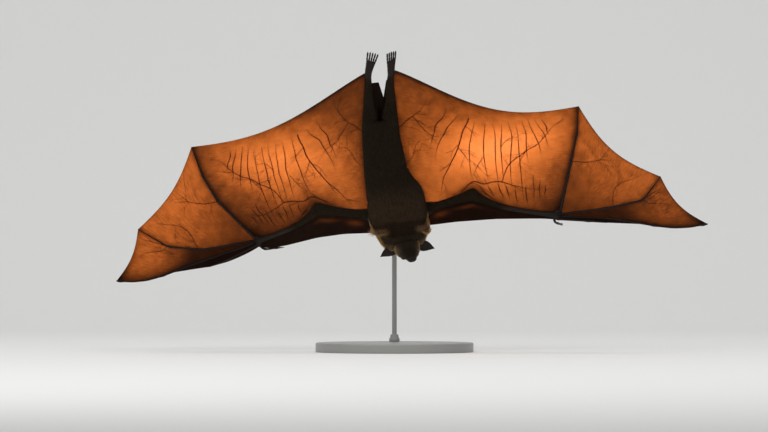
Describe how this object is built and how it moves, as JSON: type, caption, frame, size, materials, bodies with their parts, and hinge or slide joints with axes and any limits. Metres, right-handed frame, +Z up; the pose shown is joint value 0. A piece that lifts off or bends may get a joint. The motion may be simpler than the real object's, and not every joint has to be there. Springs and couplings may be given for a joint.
{
  "type": "flying fox bat display model",
  "caption": "Life-size flying fox in flight, wings spread and head down, held by a rod in its back on a round flat base.",
  "frame": {"origin": "middle of the stand base's underside", "axes": "+Z up; -Y is the front, which the belly faces; +X to the bat's right, along the spread wings"},
  "size_m": [1.1218, 0.3, 0.5721],
  "materials": {
    "body_fur": "short dense fur, dark brown",
    "mantle_fur": "longer soft fur, golden to cream",
    "bare_skin": "bare skin of ears, arms and digits, blackish brown, fine wrinkles",
    "wing_skin": "thin wing membrane, russet brown, lets light through, dark veins",
    "claw_horn": "horn, dark with pale tips",
    "eye_gloss": "glossy, brown iris and black pupil",
    "stand_paint": "satin mid grey paint"
  },
  "bodies": {
    "root": {"dactylopatagium_3_2_left": "wing_skin", "dactylopatagium_3_2_right": "wing_skin", "dactylopatagium_4_3_left": "wing_skin", "dactylopatagium_4_3_right": "wing_skin", "dactylopatagium_5_4_left": "wing_skin", "dactylopatagium_5_4_right": "wing_skin", "digit_2_left": "bare_skin", "digit_2_right": "bare_skin", "digit_3_left": "bare_skin", "digit_3_right": "bare_skin", "digit_4_left": "bare_skin", "digit_4_right": "bare_skin", "digit_5_left": "bare_skin", "digit_5_right": "bare_skin", "ear_left": "bare_skin", "ear_right": "bare_skin", "eye_left": "eye_gloss", "eye_right": "eye_gloss", "foot_left": "bare_skin", "foot_right": "bare_skin", "forearm_left": "bare_skin", "forearm_right": "bare_skin", "head": "body_fur", "neck": "mantle_fur", "plagiopatagium_left": "wing_skin", "plagiopatagium_right": "wing_skin", "propatagium_left": "wing_skin", "propatagium_right": "wing_skin", "shank_left": "body_fur", "shank_right": "body_fur", "stand_base": "stand_paint", "stand_collar": "stand_paint", "stand_rod": "stand_paint", "thigh_left": "body_fur", "thigh_right": "body_fur", "thumb_left": "bare_skin", "thumb_right": "bare_skin", "toe_1_left": "claw_horn", "toe_1_right": "claw_horn", "toe_2_left": "claw_horn", "toe_2_right": "claw_horn", "toe_3_left": "claw_horn", "toe_3_right": "claw_horn", "toe_4_left": "claw_horn", "toe_4_right": "claw_horn", "toe_5_left": "claw_horn", "toe_5_right": "claw_horn", "trunk": "body_fur", "upper_arm_left": "body_fur", "upper_arm_right": "body_fur", "uropatagium_left": "wing_skin", "uropatagium_right": "wing_skin"}
  },
  "joints": []
}
